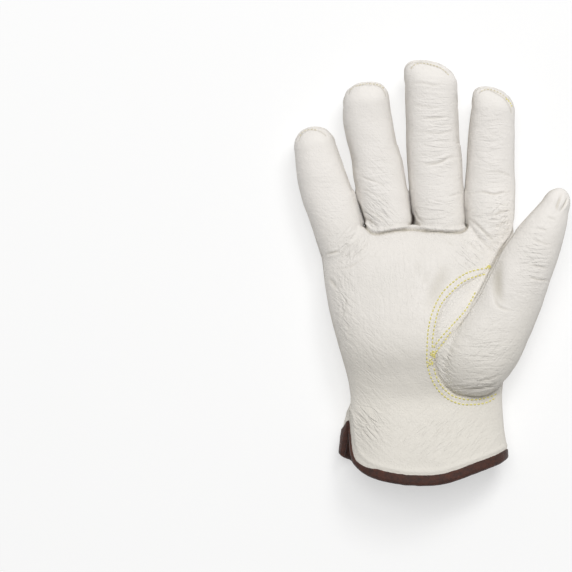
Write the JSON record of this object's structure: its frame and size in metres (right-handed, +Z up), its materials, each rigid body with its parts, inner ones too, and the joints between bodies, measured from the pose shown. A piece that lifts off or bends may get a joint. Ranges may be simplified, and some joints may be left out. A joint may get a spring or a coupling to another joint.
{
  "type": "lined leather work glove",
  "caption": "Right-hand lined leather work glove lying palm up, with a set-in thumb, sewn finger forks and a bound, slit cuff that is open for the hand.",
  "frame": {"origin": "middle of the footprint, on the surface that the glove lies on", "axes": "+Y from the cuff to the fingertips, +X to the thumb's side, +Z up out of the palm"},
  "size_m": [0.1658, 0.257, 0.0515],
  "materials": {
    "shell_leather": "soft satin grain",
    "binding": "matt dark brown tape",
    "thread": "matt yellow thread"
  },
  "bodies": {
    "root": {"palm_panel": "shell_leather", "two_finger_front": "shell_leather", "back_panel": "shell_leather", "fork_little_ring": "shell_leather", "fork_ring_middle": "shell_leather", "fork_middle_index": "shell_leather", "thumb_outer": "shell_leather", "thumb_gusset": "shell_leather", "cuff_binding": "binding"}
  },
  "joints": []
}
